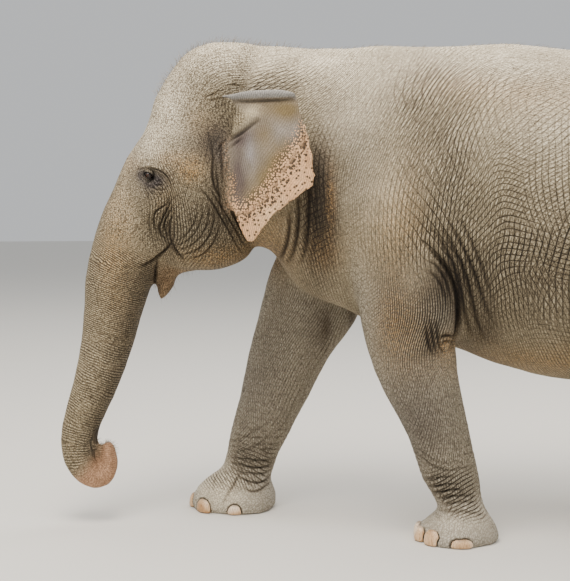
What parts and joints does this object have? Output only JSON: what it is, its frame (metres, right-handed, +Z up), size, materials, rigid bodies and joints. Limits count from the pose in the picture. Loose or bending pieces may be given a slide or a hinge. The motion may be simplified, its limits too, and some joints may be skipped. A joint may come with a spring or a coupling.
{
  "type": "asian elephant",
  "caption": "Life-size Asian elephant cow, tuskless, standing in mid-stride with the trunk hanging and curled under at its tip and the upper ear rims rolled forward.",
  "frame": {"origin": "on the ground, in the middle of the length and width of the whole animal", "axes": "-X towards the head and trunk, +X towards the tail, -Y to the animal's left, +Z up"},
  "size_m": [3.666, 1.184, 2.362],
  "materials": {
    "skin": "matt, dusty and finely wrinkled",
    "trunk_skin": "matt, with rings of fine wrinkles",
    "trunk_tip_skin": "matt, pink-brown",
    "lip_skin": "matt, tan",
    "ear_skin": "matt, freckled pink towards the rear edge",
    "foot_skin": "matt, dusty",
    "nail": "matt horn",
    "eye": "wet gloss",
    "hair": "coarse hair"
  },
  "bodies": {
    "root": {"head": "skin", "lower_jaw": "lip_skin", "eye_left": "eye", "eye_right": "eye", "trunk_upper": "trunk_skin", "trunk_middle": "trunk_skin", "trunk_lower": "trunk_skin", "trunk_tip": "trunk_tip_skin", "neck": "skin", "torso_front": "skin", "torso_rear": "skin", "foot_front_left": "foot_skin", "leg_front_left_lower": "skin", "leg_front_left_upper": "skin", "nail_front_left_1": "nail", "nail_front_left_2": "nail", "nail_front_left_3": "nail", "nail_front_left_4": "nail", "nail_front_left_5": "nail", "foot_front_right": "foot_skin", "leg_front_right_lower": "skin", "leg_front_right_upper": "skin", "nail_front_right_1": "nail", "nail_front_right_2": "nail", "nail_front_right_3": "nail", "nail_front_right_4": "nail", "nail_front_right_5": "nail", "foot_hind_left": "foot_skin", "leg_hind_left_lower": "skin", "leg_hind_left_upper": "skin", "nail_hind_left_1": "nail", "nail_hind_left_2": "nail", "nail_hind_left_3": "nail", "nail_hind_left_4": "nail", "foot_hind_right": "foot_skin", "leg_hind_right_lower": "skin", "leg_hind_right_upper": "skin", "nail_hind_right_1": "nail", "nail_hind_right_2": "nail", "nail_hind_right_3": "nail", "nail_hind_right_4": "nail", "tail": "skin", "tail_tuft": "hair", "ear_left": "ear_skin", "ear_right": "ear_skin"}
  },
  "joints": []
}
